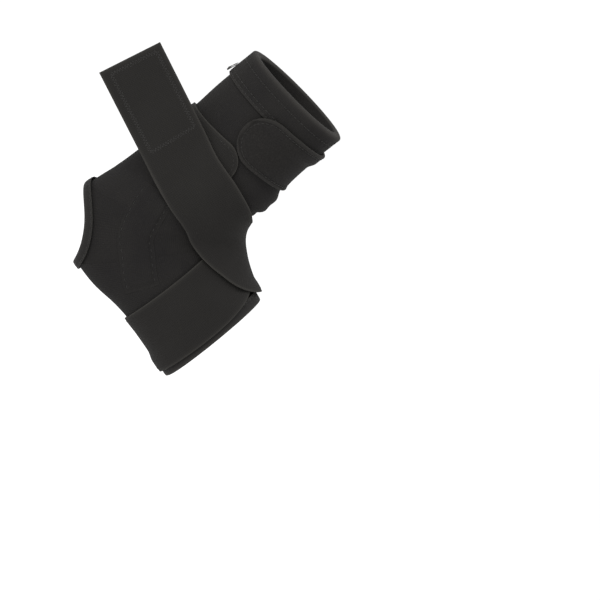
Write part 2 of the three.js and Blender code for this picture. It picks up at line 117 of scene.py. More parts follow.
# Middle lines of the bands laid over the form: station, turn and layer
STRAP_ROUTE = np.array([
    (4.3, 0.2, 0), (4.25, 0.35, 0), (4.15, 0.5, 0), (4.8, 0.63, 0), (6.4, 0.77, 0), (9.6, 0.89, 0),
    (12.9, 1.01, 0), (14.1, 1.12, 0), (14.5, 1.25, 0), (14.6, 1.38, 0), (14.65, 1.52, 0), (14.6, 1.66, 0),
    (14.5, 1.78, 0.15), (14.1, 1.87, 1), (14.2, 2.01, 1), (12.8, 2.06, 1), (7.6, 2.093, 1),
    (6.1, 2.156, 1), (5.16, 2.262, 1),
])
TAB_ROUTE = np.array([(1.9, -0.3, 0), (1.93, -0.15, 0), (1.97, 0, 0), (1.95, 0.14, 0), (1.98, 0.272, 0)])
STAY_ROUTE = np.array([(6.6, 0.285, 0), (8.0, 0.262, 0), (9.4, 0.248, 0), (10.8, 0.258, 0), (12.7, 0.306, 0)])
TAIL_DIRECTION = np.array((-0.978, -0.02, 0.208)) / np.linalg.norm((-0.978, -0.02, 0.208))

HOOK_PITCH = 0.0015
PUCKER_PITCH = 0.0056  # from one pucker of a seam to the next
EDGE_WEAR_AND_HIGHLIGHT = 0.3  # how far a rubbed edge, with its painted highlight, goes towards the cloth's lighter colour
LOOP_LEAN = 0.22  # outward slope of the blank loop
WALK_STEP = 0.003
LINE_MARGIN = 0.03  # how far a band's line goes on beyond its ends
LINE_EASE = 11.0  # over how many millimetres a band's line is evened out
EASE_REACH = 36  # how many millimetres of it count
TAIL_SETTLE = 0.026  # length over which the tail leaves the form
BAND_ROW = 0.0016  # from row to row of a band's mesh
GROOVE_WIDTH = 0.0009  # spread of the groove that a seam presses into the cloth
PUCKER_WIDTH = 0.0028  # spread of the puckers beside it
BAND_GROOVE, BAND_PUCKER = 0.00035, 0.00012  # their depth and height in a band
FOLD_GROOVE, FOLD_PUCKER, LINING_GROOVE = 0.0004, 0.00014, 0.0003  # and in a folded piece
WELT_HEIGHT = 0.0005
STAY_SEAT = 0.0002  # the stay's height over the jersey
THREAD_SUNK = 0.00025  # how deep the stitches lie in the folded tapes
PATCH_FROM_END = 0.003
FOLLOW_STEP = 0.006  # the step by which the model's bands go round the form
FULL_TURN = 2 * math.pi
LAST_STATION = len(SECTIONS) - 1


# The form


def mix(a, b, share):
    return a + (b - a) * share


def smooth(share):
    t = np.clip(share, 0, 1)
    return t * t * (3 - 2 * t)


def dot(a, b):
    return np.sum(a * b, axis=-1)


def unit(v):
    return v / np.linalg.norm(v, axis=-1, keepdims=True)


def between_rows(table, place):
    """Values of a table between its rows, on a smooth curve through them."""
    table = np.vstack([2 * table[0] - table[1], table, 2 * table[-1] - table[-2]])
    place = np.asarray(place, float)
    row = np.clip(np.floor(place).astype(int), 0, len(table) - 4)
    t = (place - row)[..., None]
    p0, p1, p2, p3 = (table[row + i] for i in range(4))
    cubic = -p0 + 3 * p1 - 3 * p2 + p3
    square = 2 * p0 - 5 * p1 + 4 * p2 - p3
    return 0.5 * (2 * p1 + (p2 - p0) * t + square * t * t + cubic * t * t * t)


def planes(station):
    """Middle and half length of each plane in the side view, and its shape."""
    values = np.moveaxis(between_rows(SECTIONS, station), -1, 0)
    front_out, front_up, back_out, back_up, side, taper, lean = values
    half = LEG_DEPTH / 2
    height = lambda share: share * np.where(share > 0, LEG_HEIGHT, SOLE_DROP)
    front = np.stack([mix(half, FOOT_REACH, front_out), height(front_up)], -1)
    back = np.stack([mix(-half, FOOT_REACH, back_out), height(back_up)], -1)
    return (front + back) / 2, (front - back) / 2, side * FORM_WIDTH / 2, taper, lean


def smooth_form(station, angle):
    middle, reach, side, taper, lean = planes(station)
    along = np.cos(angle)
    across = side * (1 + taper * along) * np.sin(angle) - lean * np.linalg.norm(reach, axis=-1) * along
    forward, up = (middle[..., i] + reach[..., i] * along for i in (0, 1))
    return np.stack([forward, -across, up], -1)


def bumps(table, station, angle):
    """Height of the rounded bumps or hollows that a table gives."""
    total = 0.0
    for centre, turn, reach, spread, height in table:
        along = (station - centre) / reach
        round_by = angle / FULL_TURN - turn
        round_by = (round_by - np.round(round_by)) / spread
        total = total + height * np.exp(-along * along - round_by * round_by)
    return total


def form(station, angle):
    """Outer face of the sleeve, without its creases."""
    step = 0.02
    down = smooth_form(station + step, angle) - smooth_form(station - step, angle)
    around = smooth_form(station, angle + step) - smooth_form(station, angle - step)
    normal = unit(np.cross(around, down))
    return smooth_form(station, angle) + normal * bumps(SWELLINGS, station, angle)[..., None]


class Spots:
    """Spots on the form, each with its outward normal and its steps along station and angle."""

    def __init__(self, station, angle, surface=form):
        step = 0.01
        self.station, self.angle = np.broadcast_arrays(np.asarray(station, float), np.asarray(angle, float))
        self.point = surface(self.station, self.angle)
        down = surface(self.station + step, self.angle) - surface(self.station - step, self.angle)
        around = surface(self.station, self.angle + step) - surface(self.station, self.angle - step)
        self.down, self.around = down / (2 * step), around / (2 * step)
        self.normal = unit(np.cross(self.around, self.down))

    def spread(self, shape):
        """The same spots repeated to a wider shape."""
        wide = object.__new__(Spots)
        wide.station = np.broadcast_to(self.station, shape)
        wide.angle = np.broadcast_to(self.angle, shape)
        for name in ("point", "down", "around", "normal"):
            setattr(wide, name, np.broadcast_to(getattr(self, name), (*shape, 3)))
        return wide


def walk(start, heading, distance):
    """Goes a distance over the form from each spot, straight on in its heading. A swelling stretches
    the cloth over it and doesn't turn its edge, so the way is found without them."""
    distance = np.broadcast_to(distance, start.station.shape)
    steps = max(1, math.ceil(np.abs(distance).max() / WALK_STEP))
    step = distance / steps
    spot = Spots(start.station, start.angle, smooth_form)
    way = np.array(np.broadcast_to(heading, start.point.shape))
    for _ in range(steps):
        way = unit(way - dot(way, spot.normal)[..., None] * spot.normal)
        aa, bb = dot(spot.down, spot.down), dot(spot.around, spot.around)
        ab = dot(spot.down, spot.around)
        a, b = dot(spot.down, way) * step, dot(spot.around, way) * step
        whole = aa * bb - ab * ab
        station, angle = spot.station + (a * bb - b * ab) / whole, spot.angle + (b * aa - a * ab) / whole
        spot = Spots(station, angle, smooth_form)
    return Spots(spot.station, spot.angle)


def raised(spot, height):
    return spot.point + spot.normal * np.broadcast_to(height, spot.station.shape)[..., None]


# The edges of the sleeve


def heel_arc():
    """Centre and radius of the heel opening in the side view."""
    top = np.array((-LEG_DEPTH / 2, HEEL_EDGE_UP * SOLE_DROP))
    foot = np.array((HEEL_EDGE_OUT * LEG_DEPTH, -SOLE_DROP))
    chord = foot - top
    length = np.linalg.norm(chord)
    hollow = HEEL_HOLLOW * length
    radius = (length * length / 4 + hollow * hollow) / (2 * hollow)
    outward = np.array((chord[1], -chord[0])) / length
    return (top + foot) / 2 + outward * (radius - hollow), radius


HEEL_CENTRE, HEEL_RADIUS = heel_arc()


def heel_cut(station):
    """Share of a plane's half length at which the heel opening crosses it."""
    middle, reach, *_ = planes(station)
    offset = middle - HEEL_CENTRE
    a, b, c = dot(reach, reach), 2 * dot(offset, reach), dot(offset, offset) - HEEL_RADIUS**2
    root = b * b - 4 * a * c
    return np.where(root > 0, (-b + np.sqrt(np.maximum(root, 0))) / (2 * a), -2.0)


def half_span(station):
    cut = heel_cut(station)
    return np.where(cut > -1, np.arccos(np.clip(cut, -1, 1)), np.pi)


def crossing(closed, opened):
    for _ in range(40):
        station = (closed + opened) / 2
        if heel_cut(np.array(station)) > -1:
            opened = station
        else:
            closed = station
    return (closed + opened) / 2


HEEL_TOP = crossing(6, HEEL_MIDDLE)
HEEL_FOOT = crossing(13, HEEL_MIDDLE)


def heel_station(turn):
    return mix(HEEL_TOP, HEEL_FOOT, (1 - np.cos(turn)) / 2)


def round_edge(station, towards, count):
    """Spots round the cuff or the foot opening, with their headings into the sleeve."""
    spots = Spots(np.full(count, float(station)), np.pi * (2 * np.arange(count) / count - 1))
    return spots, unit(np.cross(spots.normal, spots.around)) * towards


def heel_edge(count):
    turn = FULL_TURN * np.arange(count) / count
    station = heel_station(turn)
    span = half_span(station)
    span[0] = span[count // 2] = np.pi
    spots = Spots(station, np.where(turn <= np.pi, span, FULL_TURN - span))
    tangent = np.roll(spots.point, -1, 0) - np.roll(spots.point, 1, 0)
    return spots, unit(np.cross(spots.normal, tangent))


# The bands


class Band:
    """A band of cloth that lies along a route on the form, and may leave it as a straight tail."""

    def __init__(self, route, width, thickness, lift, tail=0.0):
        self.width, self.thickness, self.lift = width, thickness, lift
        fine = between_rows(route, np.linspace(0, len(route) - 1, 40 * (len(route) - 1) + 1))
        lengths = run_of(Spots(fine[:, 0], fine[:, 1] * FULL_TURN).point, 0)
        self.laid = lengths[-1]
        # Cloth evens out the small bends of its line, so the line is eased over its neighbourhood,
        # and has one row for each millimetre
        self.at = np.linspace(-LINE_MARGIN, self.laid + LINE_MARGIN, int(self.laid / 0.001) + 61)
        inside = np.clip(self.at, 0, self.laid)
        line = np.stack([np.interp(inside, lengths, fine[:, i]) for i in range(3)], -1)
        for end, gap in ((0, 1), (-1, -2)):
            beyond = self.at - inside
            slope = (fine[end] - fine[gap]) / (lengths[end] - lengths[gap])
            chosen = beyond < 0 if end == 0 else beyond > 0
            line[chosen] += beyond[chosen, None] * slope * np.array((1, 1, 0))
        weight = np.exp(-0.5 * (np.arange(-EASE_REACH, EASE_REACH + 1) / LINE_EASE) ** 2)
        weight = weight / weight.sum()
        longer = np.pad(line, ((EASE_REACH, EASE_REACH), (0, 0)), mode="reflect", reflect_type="odd")
        self.line_table = np.stack([np.convolve(longer[:, i], weight, "valid") for i in range(3)], -1)
        self.total = self.laid + tail
        if tail:
            self.lay_tail(tail)

    def on_route(self, distance):
        row = between_rows(self.line_table, (np.asarray(distance) - self.at[0]) / (self.at[1] - self.at[0]))
        return Spots(row[..., 0], row[..., 1] * FULL_TURN)

    def line(self, distance):
        """Spots on the middle line, with the directions along and across it."""
        spots = self.on_route(distance)
        along = self.on_route(distance + FOLLOW_STEP).point - self.on_route(distance - FOLLOW_STEP).point
        along = unit(along - dot(along, spots.normal)[..., None] * spots.normal)
        return spots, along, np.cross(spots.normal, along)

    def lay_tail(self, tail):
        spots, along, across = self.line(np.array([self.laid]))
        self.end_spot = spots
        self.end_along, self.end_across, self.end_normal = along[0], across[0], spots.normal[0]
        self.root = raised(spots, self.lift(spots.station, self.layer(np.array([self.laid]))))[0]
        inward = unit(np.cross(TAIL_DIRECTION, self.end_across))
        self.flat_normal = inward if dot(inward, self.end_normal) > 0 else -inward
        self.flat_across = np.cross(self.flat_normal, TAIL_DIRECTION)
        self.tail_at = np.linspace(0, tail, 181)
        middle = (self.tail_at[1:] + self.tail_at[:-1]) / 2
        flat = smooth((middle + FOLLOW_STEP / 2) / TAIL_SETTLE)[:, None]
        way = unit(mix(self.end_along, TAIL_DIRECTION, flat)) * (self.tail_at[1] - self.tail_at[0])
        self.tail_line = self.root + np.vstack([np.zeros(3), np.cumsum(way, axis=0)])

    def layer(self, distance):
        return np.clip(np.interp(distance, self.at, self.line_table[:, 2]), 0, 1)

    def surface(self, distance, across, height):
        """Points at a distance along the band, a distance across it and a height over its lower
        face, with their normals and the direction along."""
        distance, across, height = np.broadcast_arrays(
            np.asarray(distance, float), np.asarray(across, float), np.asarray(height, float))
        shape = distance.shape
        distance, across, height = distance.ravel(), across.ravel(), height.ravel()
        point = np.zeros((len(distance), 3))
        normal, along = np.zeros_like(point), np.zeros_like(point)
        lies = distance <= self.laid
        if lies.any():
            spots, ahead, sideways = self.line(distance[lies])
            there = walk(spots, sideways, across[lies])
            lift = self.lift(there.station, self.layer(distance[lies]))
            point[lies] = raised(there, lift + height[lies])
            normal[lies], along[lies] = there.normal, ahead
        free = ~lies
        if free.any():
            t, side, up = distance[free] - self.laid, across[free], height[free]
            there = walk(self.end_spot.spread(t.shape), self.end_across, side)
            lift = self.lift(there.station, self.layer(np.full(t.shape, self.laid)))
            offset = raised(there, lift + up) - self.root
            flat = smooth(t / TAIL_SETTLE)[:, None]
            centre = np.stack([np.interp(t, self.tail_at, self.tail_line[:, i]) for i in range(3)], -1)
            way = unit(mix(self.end_along, TAIL_DIRECTION, flat))
            width_way = unit(mix(self.end_across, self.flat_across, flat))
            facing = unit(np.cross(way, width_way))
            facing = facing * np.sign(dot(facing, self.flat_normal))[:, None]
            # The held tail bows a little along and across
            bow = 0.0009 * np.sin(t / 0.034)[:, None] * flat * np.cos(side / 0.02)[:, None]
            point[free] = (
                centre
                + way * (dot(offset, self.end_along)[:, None] * (1 - flat))
                + width_way * mix(dot(offset, self.end_across)[:, None], side[:, None], flat)
                + facing * (mix(dot(offset, self.end_normal)[:, None], up[:, None], flat) + bow)
            )
            normal[free] = unit(mix(there.normal, facing, flat))
            along[free] = way
        return point.reshape(*shape, 3), normal.reshape(*shape, 3), along.reshape(*shape, 3)


def half_width(width, corner, from_end):
    """Half width of a band near an end with rounded corners."""
    if corner == 0:
        return np.full(np.shape(from_end), width / 2)
    left = np.clip(corner - from_end, 0, corner)
    return width / 2 - corner + np.sqrt(np.maximum(corner * corner - left * left, 0))


def near_edge(left, radius):
    """Share of its thickness that cloth keeps near a rounded edge."""
    t = np.clip(left / radius, 0, 1)
    return 0.12 + 0.88 * np.sqrt(1 - (1 - t) ** 2)


def eased(grid):
    """Rows of points evened out over a few of their neighbours."""
    weight = np.exp(-0.5 * (np.arange(-6, 7) / 2.4) ** 2)
    rows = np.pad(grid, ((6, 6), (0, 0), (0, 0)), mode="edge")
    return sum(w * rows[i:i + len(grid)] for i, w in enumerate(weight / weight.sum()))


def groove(distance, line, width=GROOVE_WIDTH):
    return np.exp(-(((distance - line) / width) ** 2))


# Meshes


class Cloth:
    """Gathers the vertices, faces, lengths along the cloth, and the rubbing with painted highlight, of one
    mesh.
    """

    def __init__(self):
        self.points, self.wear, self.faces, self.uvs = [], [], [], []
        self.count = 0

    def add(self, points, wear=0.0):
        """Adds vertices and returns their numbers."""
        shape = points.shape[:-1]
        self.points.append(points.reshape(-1, 3))
        self.wear.append(np.broadcast_to(wear, shape).reshape(-1))
        index = self.count + np.arange(int(np.prod(shape))).reshape(shape)
        self.count += index.size
        return index

    def grid(self, index, uv, flip=False):
        """Quads between the rows and columns of a grid of vertices."""
        cut = lambda a: [a[:-1, :-1], a[:-1, 1:], a[1:, 1:], a[1:, :-1]]
        corners = np.stack(cut(index), -1).reshape(-1, 4)
        spread = np.stack(cut(uv), -2).reshape(-1, 4, 2)
        if flip:
            corners, spread = corners[:, ::-1], spread[:, ::-1]
        self.faces.append(corners)
        self.uvs.append(spread)

    def shell(self, over, under, uv, sides=slice(None)):
        """Two grids of vertices as a closed shell. sides are the rows over which its sides are closed."""
        self.grid(over, uv)
        self.grid(under, uv, flip=True)
        for end, flip in ((0, True), (-1, False)):
            side = np.stack([over[sides, end], under[sides, end]], 1)
            self.grid(side, np.stack([uv[sides, end]] * 2, 1), flip)
            self.grid(np.stack([over[end], under[end]]), np.stack([uv[end]] * 2), flip)

    def finish(self, name, material):
        points = np.concatenate(self.points)
        corners, spread = np.concatenate(self.faces), np.concatenate(self.uvs)
        a, b, c, d = (points[corners[:, i]] for i in range(4))
        if (dot(a, np.cross(b, c)) + dot(a, np.cross(c, d))).sum() < 0:
            corners, spread = corners[:, ::-1], spread[:, ::-1]
        faces, uvs = [], []
        for corner, uv in zip(corners.tolist(), spread):
            kept = [i for i in range(4) if corner[i] != corner[i - 1]]
            if len(kept) > 2:
                faces.append([corner[i] for i in kept])
                uvs.append(uv[kept])
        mesh = bpy.data.meshes.new(name)
        mesh.from_pydata(points.tolist(), [], faces)
        mesh.uv_layers.new(name="cloth").data.foreach_set("uv", np.concatenate(uvs).ravel())
        wear = mesh.attributes.new("wear", "FLOAT", "POINT")
        wear.data.foreach_set("value", np.concatenate(self.wear).astype(np.float32))
        mesh.polygons.foreach_set("use_smooth", np.ones(len(faces), bool))
        mesh.validate()
        mesh.update()
        mesh.materials.append(material)
        piece = bpy.data.objects.new(name, mesh)
        bpy.context.scene.collection.objects.link(piece)
        return piece


def run_of(points, axis):
    """Length along a grid of points, from its first row or column."""
    steps = np.linalg.norm(np.diff(points, axis=axis), axis=-1)
    zero = np.zeros_like(np.take(steps, [0], axis=axis))
    return np.cumsum(np.concatenate([zero, steps], axis=axis), axis=axis)


def band_piece(name, band, material, corner, ribs, lines, soft_edge=0.0, welt=0.0):
    """Closed mesh of a band: both faces, rounded edges and ends, and a groove under each seam line.
    lines are the seams' distances from the edges, soft_edge how far a padded edge slopes and welt
    the width of a raised rim."""
    edge = 0.5 * band.thickness
    ends = edge * np.array([0, 0.08, 0.35, 0.8])
    body = np.linspace(1.4 * edge, band.total - 1.4 * edge, max(8, int(band.total / BAND_ROW)))
    if corner:
        near = corner * (1 - np.cos(np.linspace(0.16, 1, 14) * np.pi / 2))
        body = np.concatenate([near, body[body > corner]])
        body = body[body > 1.2 * edge]
    distance = np.concatenate([ends, body, band.total - ends[::-1]])
    half = half_width(band.width, corner, distance)
    half_round = corner > band.width / 2 - 1e-6
    half = np.maximum(half, (0.03 if half_round else 0.12) * band.width)
    inner = np.linspace(0, 1, ribs)[1:-1]
    # Columns from the edge to the middle, closer where the edge is rounded
    shares = 1 - np.concatenate([[0, 0.0035, 0.015, 0.035, 0.06], 0.07 + 0.93 * inner, [1.0]])
    shares = np.concatenate([-shares, shares[-2::-1]])
    across = half[:, None] * shares[None, :]
    from_side = half[:, None] - np.abs(across)
    from_end = np.minimum(distance, band.total - distance)[:, None]
    left = np.minimum(from_side, from_end)
    keeps = smooth(left / soft_edge) * 0.97 + 0.03 if soft_edge else near_edge(left, edge)
    along = np.broadcast_to(distance[:, None], across.shape)
    press = sum(groove(left, line) for line in lines) * BAND_GROOVE
    soft = sum(groove(left, line, PUCKER_WIDTH) for line in lines)
    pucker = BAND_PUCKER * np.sin(along * FULL_TURN / PUCKER_PITCH) * soft
    low = band.thickness * (1 - keeps) * (0 if soft_edge else 0.5)
    high = band.thickness * (keeps if soft_edge else (1 + keeps) / 2) - press + pucker
    # Edges are painted lighter: partly rubbing, partly a painted highlight along them
    wear = np.exp(-left / 0.0008) * (0.15 if soft_edge else 1)
    if welt:
        round_welt = np.clip(1 - ((left - welt / 2) / (welt / 2)) ** 2, 0, 1)
        high = high + WELT_HEIGHT * np.sqrt(round_welt)
        # The raised rim is painted lighter all along: a painted highlight on it
        wear = np.maximum(wear, 0.4 * round_welt)
    # The cloth bridges the smallest unevenness of the form under it
    calm = smooth((np.minimum(distance, band.total - distance) - corner - 0.004) / 0.006)[:, None, None]
    faces = (band.surface(along, across, height)[0] for height in (low, high))
    lower, upper = (mix(grid, eased(grid), calm) for grid in faces)
    cloth = Cloth()
    under, over = cloth.add(lower, wear), cloth.add(upper, wear)
    uv = np.stack([across + band.width, along], -1)
    cloth.shell(over, under, uv)
    return cloth.finish(name, material)


def folded_piece(name, edge, material, outside, lining, thickness, gap, lines):
    """Closed mesh of a tape or collar folded over an edge of the sleeve, with a groove under each seam."""
    spots, inward = edge
    low, high = gap, gap + thickness
    rim = 0.5 * thickness

    def leg(distance, height):
        return raised(walk(spots, inward, distance) if distance > 1e-6 else spots, height)

    def beyond(distance, height):
        return raised(spots, height) - inward * distance

    def fall(distance, reach):
        return thickness * (1 - near_edge(reach - distance, rim)) / 2

    around = run_of(np.vstack([spots.point, spots.point[:1]]), 0)
    turn = around[:-1] / around[-1]
    waves = np.sin(FULL_TURN * np.round(around[-1] / PUCKER_PITCH) * turn)
    ring, at, wear = [], [], []

    def put(points, place, worn_and_highlit):
        ring.append(points)
        at.append(place)
        wear.append(worn_and_highlit)

    edge_stops = rim * np.array([0, 0.08, 0.35, 0.9])
    body = np.linspace(outside - 1.4 * rim, 0, max(6, int(outside / 0.0009)))
    for distance in np.concatenate([outside - edge_stops, body]):
        near_line, soft = (sum(groove(distance, line, width) for line in lines)
                           for width in (GROOVE_WIDTH, PUCKER_WIDTH))
        height = high - fall(distance, outside) - FOLD_GROOVE * near_line + FOLD_PUCKER * soft * waves
        # The cut edge and the fold are painted lighter: partly rubbing, partly a painted highlight
        worn_and_highlit = math.exp(-(outside - distance) / 0.001) + 0.6 * math.exp(-distance / 0.0015)
        put(leg(distance, height), distance, worn_and_highlit)
    # Round the fold the cloth is painted fully lighter: a painted highlight, with its rubbing
    for phi in np.linspace(np.pi / 2, -np.pi / 2, 13)[1:-1]:
        out = high * abs(math.cos(phi)) ** 0.8
        up = math.copysign(abs(math.sin(phi)) ** 0.8, phi)
        put(beyond(out, -WALL / 2 + (WALL / 2 + high) * up), -out, 1.0)
    body = np.linspace(0, lining - 1.4 * rim, max(4, int(lining / 0.0012)))
    for distance in np.concatenate([body, lining - edge_stops[::-1]]):
        near_line = sum(groove(distance, line) for line in lines)
        height = -WALL - high + fall(distance, lining) + LINING_GROOVE * near_line
        put(leg(distance, height), -distance - high, 0.2)
    put(leg(lining, -WALL - low - fall(lining, lining)), -lining - high, 0)
    put(leg(lining / 2, -WALL - low), -lining - high, 0)
    put(beyond(low, -WALL - low), -lining - high, 0)
    put(beyond(low, low), outside, 0)
    put(leg(outside / 2, low), outside, 0)
    put(leg(outside, low + fall(outside, outside)), outside, 0)
    points = np.stack(ring, 1)
    cloth = Cloth()
    index = cloth.add(points, np.array(wear)[None, :])
    index = np.vstack([index, index[:1]])
    index = np.hstack([index, index[:, :1]])
    places = np.array(at + at[:1])
    uv = np.stack(np.broadcast_arrays(around[:, None], places[None, :] + 0.05), -1)
    cloth.grid(index, uv)
    return cloth.finish(name, material)


def deselect_all():
    for thing in bpy.context.selected_objects:
        thing.select_set(False)


def declare_cloth(piece, node, flat):
    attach(piece, "root")
    if node:
        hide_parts(node)


# Materials


def from_hex(code):
    """Linear colour from an sRGB hex value."""
    parts = [int(code[i:i + 2], 16) / 255 for i in (1, 3, 5)]
    return tuple(p / 12.92 if p <= 0.04045 else ((p + 0.055) / 1.055) ** 2.4 for p in parts) + (1.0,)


def add_node(tree, kind, output, settings=None, links=None):
    """Adds a node and gives one of its outputs. settings holds its values and its sockets' values, links
    the outputs that feed it."""
    node = tree.nodes.new("ShaderNode" + kind)
    for name, value in (settings or {}).items():
        if isinstance(name, int) or name in node.inputs:
            node.inputs[name].default_value = value
        else:
            setattr(node, name, value)
    for name, source in (links or {}).items():
        tree.links.new(source, node.inputs[name])
    return node.outputs[output] if output is not None else None


def new_material(name):
    material = bpy.data.materials.get(name)
    if material:
        return material, None
    material = bpy.data.materials.new(name)
    material.use_nodes = True
    tree = material.node_tree
    tree.nodes.clear()
    return material, tree


def pattern_height(tree, pattern, pitches):
    """Height of a cloth's pattern: a tangled pile, or waves across and along the cloth's own lengths, which
    are ribs alone, cords with picks or a plain crossing."""
    if pattern == "pile":
        place = add_node(tree, "TexCoord", "Object")
        return add_node(tree, "TexVoronoi", "Distance", {"Scale": 950.0}, {"Vector": place})
    place = add_node(tree, "UVMap", "UV", {"uv_map": "cloth"})
    waves = []
    for pitch, direction in zip(pitches, "XY"):
        settings = {"wave_type": "BANDS", "bands_direction": direction, "Distortion": 0.0}
        settings["Scale"] = FULL_TURN / (20 * pitch)
        waves.append(add_node(tree, "TexWave", "Fac", settings, {"Vector": place}))
    if pattern == "ribs":
        return waves[0]
    if pattern == "cords":
        settings = {"operation": "MULTIPLY_ADD", 1: 0.6}
        return add_node(tree, "Math", "Value", settings, {0: waves[0], 2: waves[1]})
    return add_node(tree, "Math", "Value", {"operation": "MULTIPLY"}, {0: waves[0], 1: waves[1]})


def cloth_material(name, pattern, pitches, depth, colours, roughness, specular, sheen, lint):
    """The named material, made on its first use: the pattern's height as bump, and colours varied by soft
    patches, lint, and rubbed edges that also carry a painted highlight. colours names those of the body, the
    raised threads and painted highlights, and the hollows."""
    material, tree = new_material(name)
    if not tree:
        return material
    palette = bpy.context.scene.brace_colours
    body, light, dark = (from_hex(getattr(palette, colour)) for colour in colours)
    height = pattern_height(tree, pattern, pitches)
    place = add_node(tree, "TexCoord", "Object")
    patches = add_node(tree, "TexNoise", "Fac", {"Scale": 38.0, "Detail": 3.0}, {"Vector": place})
    fibres = add_node(tree, "TexNoise", "Fac", {"Scale": 900.0, "Detail": 2.0}, {"Vector": place})
    # This attribute marks rubbed edges, and also paints a highlight along edges, rims and folds
    worn_and_highlit = add_node(tree, "Attribute", "Fac", {"attribute_name": "wear"})
    tone = add_node(tree, "MapRange", "Result", {"From Min": 0.35, "From Max": 0.68}, {"Value": patches})
    ground = add_node(tree, "Mix", 2, {"data_type": "RGBA", 6: dark, 7: body}, {0: tone})
    fuzz = add_node(tree, "MapRange", "Result", {"From Min": 0.55, "From Max": 0.8, "To Max": lint},
                    {"Value": fibres})
    threads = add_node(tree, "Math", "Value", {"operation": "MULTIPLY", 1: lint}, {0: height})
    both = add_node(tree, "Math", "Value", {"operation": "ADD"}, {0: fuzz, 1: threads})
    edge = add_node(tree, "Math", "Value", {"operation": "MULTIPLY_ADD", 1: EDGE_WEAR_AND_HIGHLIGHT, "use_clamp": True},
                    {0: worn_and_highlit, 2: both})
    colour = add_node(tree, "Mix", 2, {"data_type": "RGBA", 7: light}, {0: edge, 6: ground})
    least, most = roughness - 0.06, min(1.0, roughness + 0.04)
    rough = add_node(tree, "MapRange", "Result", {"To Min": least, "To Max": most}, {"Value": fibres})
    relief = add_node(tree, "Math", "Value", {"operation": "MULTIPLY_ADD", 1: 0.35}, {0: fibres, 2: height})
    bump = add_node(tree, "Bump", "Normal", {"Strength": 0.8, "Distance": depth}, {"Height": relief})
    shader = add_node(
        tree, "BsdfPrincipled", "BSDF",
        {"Specular IOR Level": specular, "Sheen Weight": sheen, "Sheen Roughness": 0.45,
         "Sheen Tint": (0.75, 0.74, 0.72, 1.0)},
        {"Base Color": colour, "Roughness": rough, "Normal": bump})
    add_node(tree, "OutputMaterial", None, {}, {"Surface": shader})
    return material


def neoprene_jersey():
    """Neoprene laminated with nylon jersey: matt black with a fine knitted grain and a faint bloom.
    The knit is 0.6 mm from wale to wale and is drawn at 1.3 mm, which is what shows at this size."""
    return cloth_material("knitted_neoprene_jersey", "crossing", (0.0013, 0.0011), 0.00014,
                          ("jersey", "jersey_light", "jersey_dark"),
                          roughness=0.9, specular=0.07, sheen=0.015, lint=0.1)


def brushed_loop():
    """Brushed loop cloth of the closing tab: the darkest and most matt, with a short tangled pile."""
    return cloth_material("brushed_loop_cloth", "pile", (), 0.0002,
                          ("loop", "jersey_light", "jersey_dark"),
                          roughness=0.95, specular=0.08, sheen=0.03, lint=0.12)


def elastic_webbing():
    """Woven elastic: a shade lighter than the neoprene, with fine cords along it and picks across.
    The cords are 0.8 mm apart and are drawn at 1.5 mm, the picks 0.5 mm and drawn at 1.1 mm."""
    return cloth_material("woven_elastic_webbing", "cords", (0.0015, 0.0011), 0.00009,
                          ("elastic", "elastic_light", "elastic_dark"),
                          roughness=0.86, specular=0.09, sheen=0.01, lint=0.035)


def binding_tape():
    """Knitted nylon binding tape, folded over the raw edges: a soft low gloss and fine ribs across.
    The ribs are 0.7 mm apart and are drawn at 1.2 mm."""
    return cloth_material("folded_nylon_binding", "ribs", (0.0012,), 0.00014,
                          ("binding", "jersey_light", "jersey_dark"),
                          roughness=0.82, specular=0.1, sheen=0.015, lint=0.06)


def woven_tape():
    """Plain woven polyester tape: thin and a little shiny, with fine picks across."""
    return cloth_material("woven_polyester_tape", "crossing", (0.0009, 0.0007), 0.00006,
                          ("loop_tape", "thread_light", "jersey_light"),
                          roughness=0.6, specular=0.3, sheen=0.02, lint=0.1)


def hook_tape():
    """Moulded nylon hook tape: a smoother, darker base with a slight gloss under its hooks."""
    return cloth_material("moulded_nylon_hook_tape", "crossing", (HOOK_PITCH, HOOK_PITCH), 0.0001,
                          ("hook", "elastic_light", "jersey_dark"),
                          roughness=0.7, specular=0.12, sheen=0.0, lint=0.05)


def sewing_thread():
    """Bonded polyester thread: a little lighter and glossier than the cloth, twisted every 0.8 mm."""
    return cloth_material("bonded_polyester_thread", "ribs", (0.0008,), 0.0001,
                          ("thread", "thread_light", "jersey"),
                          roughness=0.6, specular=0.25, sheen=0.03, lint=0.2)


# Seams


def model_strand(length, width, sides, cuts):
    """A straight strand along X, modelled in edit mode: its points and faces."""
    deselect_all()
    bpy.ops.mesh.primitive_cylinder_add(vertices=sides, radius=width / 2, depth=length,
                                        end_fill_type="TRIFAN", rotation=(0, math.pi / 2, 0))
    strand = bpy.context.object
    bpy.ops.object.mode_set(mode="EDIT")
    bpy.ops.mesh.select_mode(type="EDGE")
    bpy.ops.mesh.select_all(action="DESELECT")
    mesh = bmesh.from_edit_mesh(strand.data)
    for edge in mesh.edges:
        a, b = (v.co for v in edge.verts)
        edge.select = abs(abs(a.z - b.z) - length) < 1e-6
    bmesh.update_edit_mesh(strand.data)
    bpy.ops.mesh.subdivide(number_cuts=cuts)
    bpy.ops.mesh.select_all(action="DESELECT")
    bpy.ops.object.mode_set(mode="OBJECT")
    bpy.ops.object.transform_apply(location=True, rotation=True, scale=True)
    points = np.array([v.co[:] for v in strand.data.vertices])
    faces = [list(p.vertices) for p in strand.data.polygons]
    used = strand.data
    bpy.data.objects.remove(strand)
    bpy.data.meshes.remove(used)
    return points, faces


def model_stitch(length, width):
    """One stitch: a strand that rises from the cloth and dips back at both ends."""
    points, faces = model_strand(length, width, 6, 3)
    square = (2 * points[:, 0] / length) ** 2
    points[:, 2] = points[:, 2] * (1 - 0.45 * square) - 0.55 * width * square + 0.2 * width
    points[:, 1] *= 1 - 0.4 * square
    return points, faces


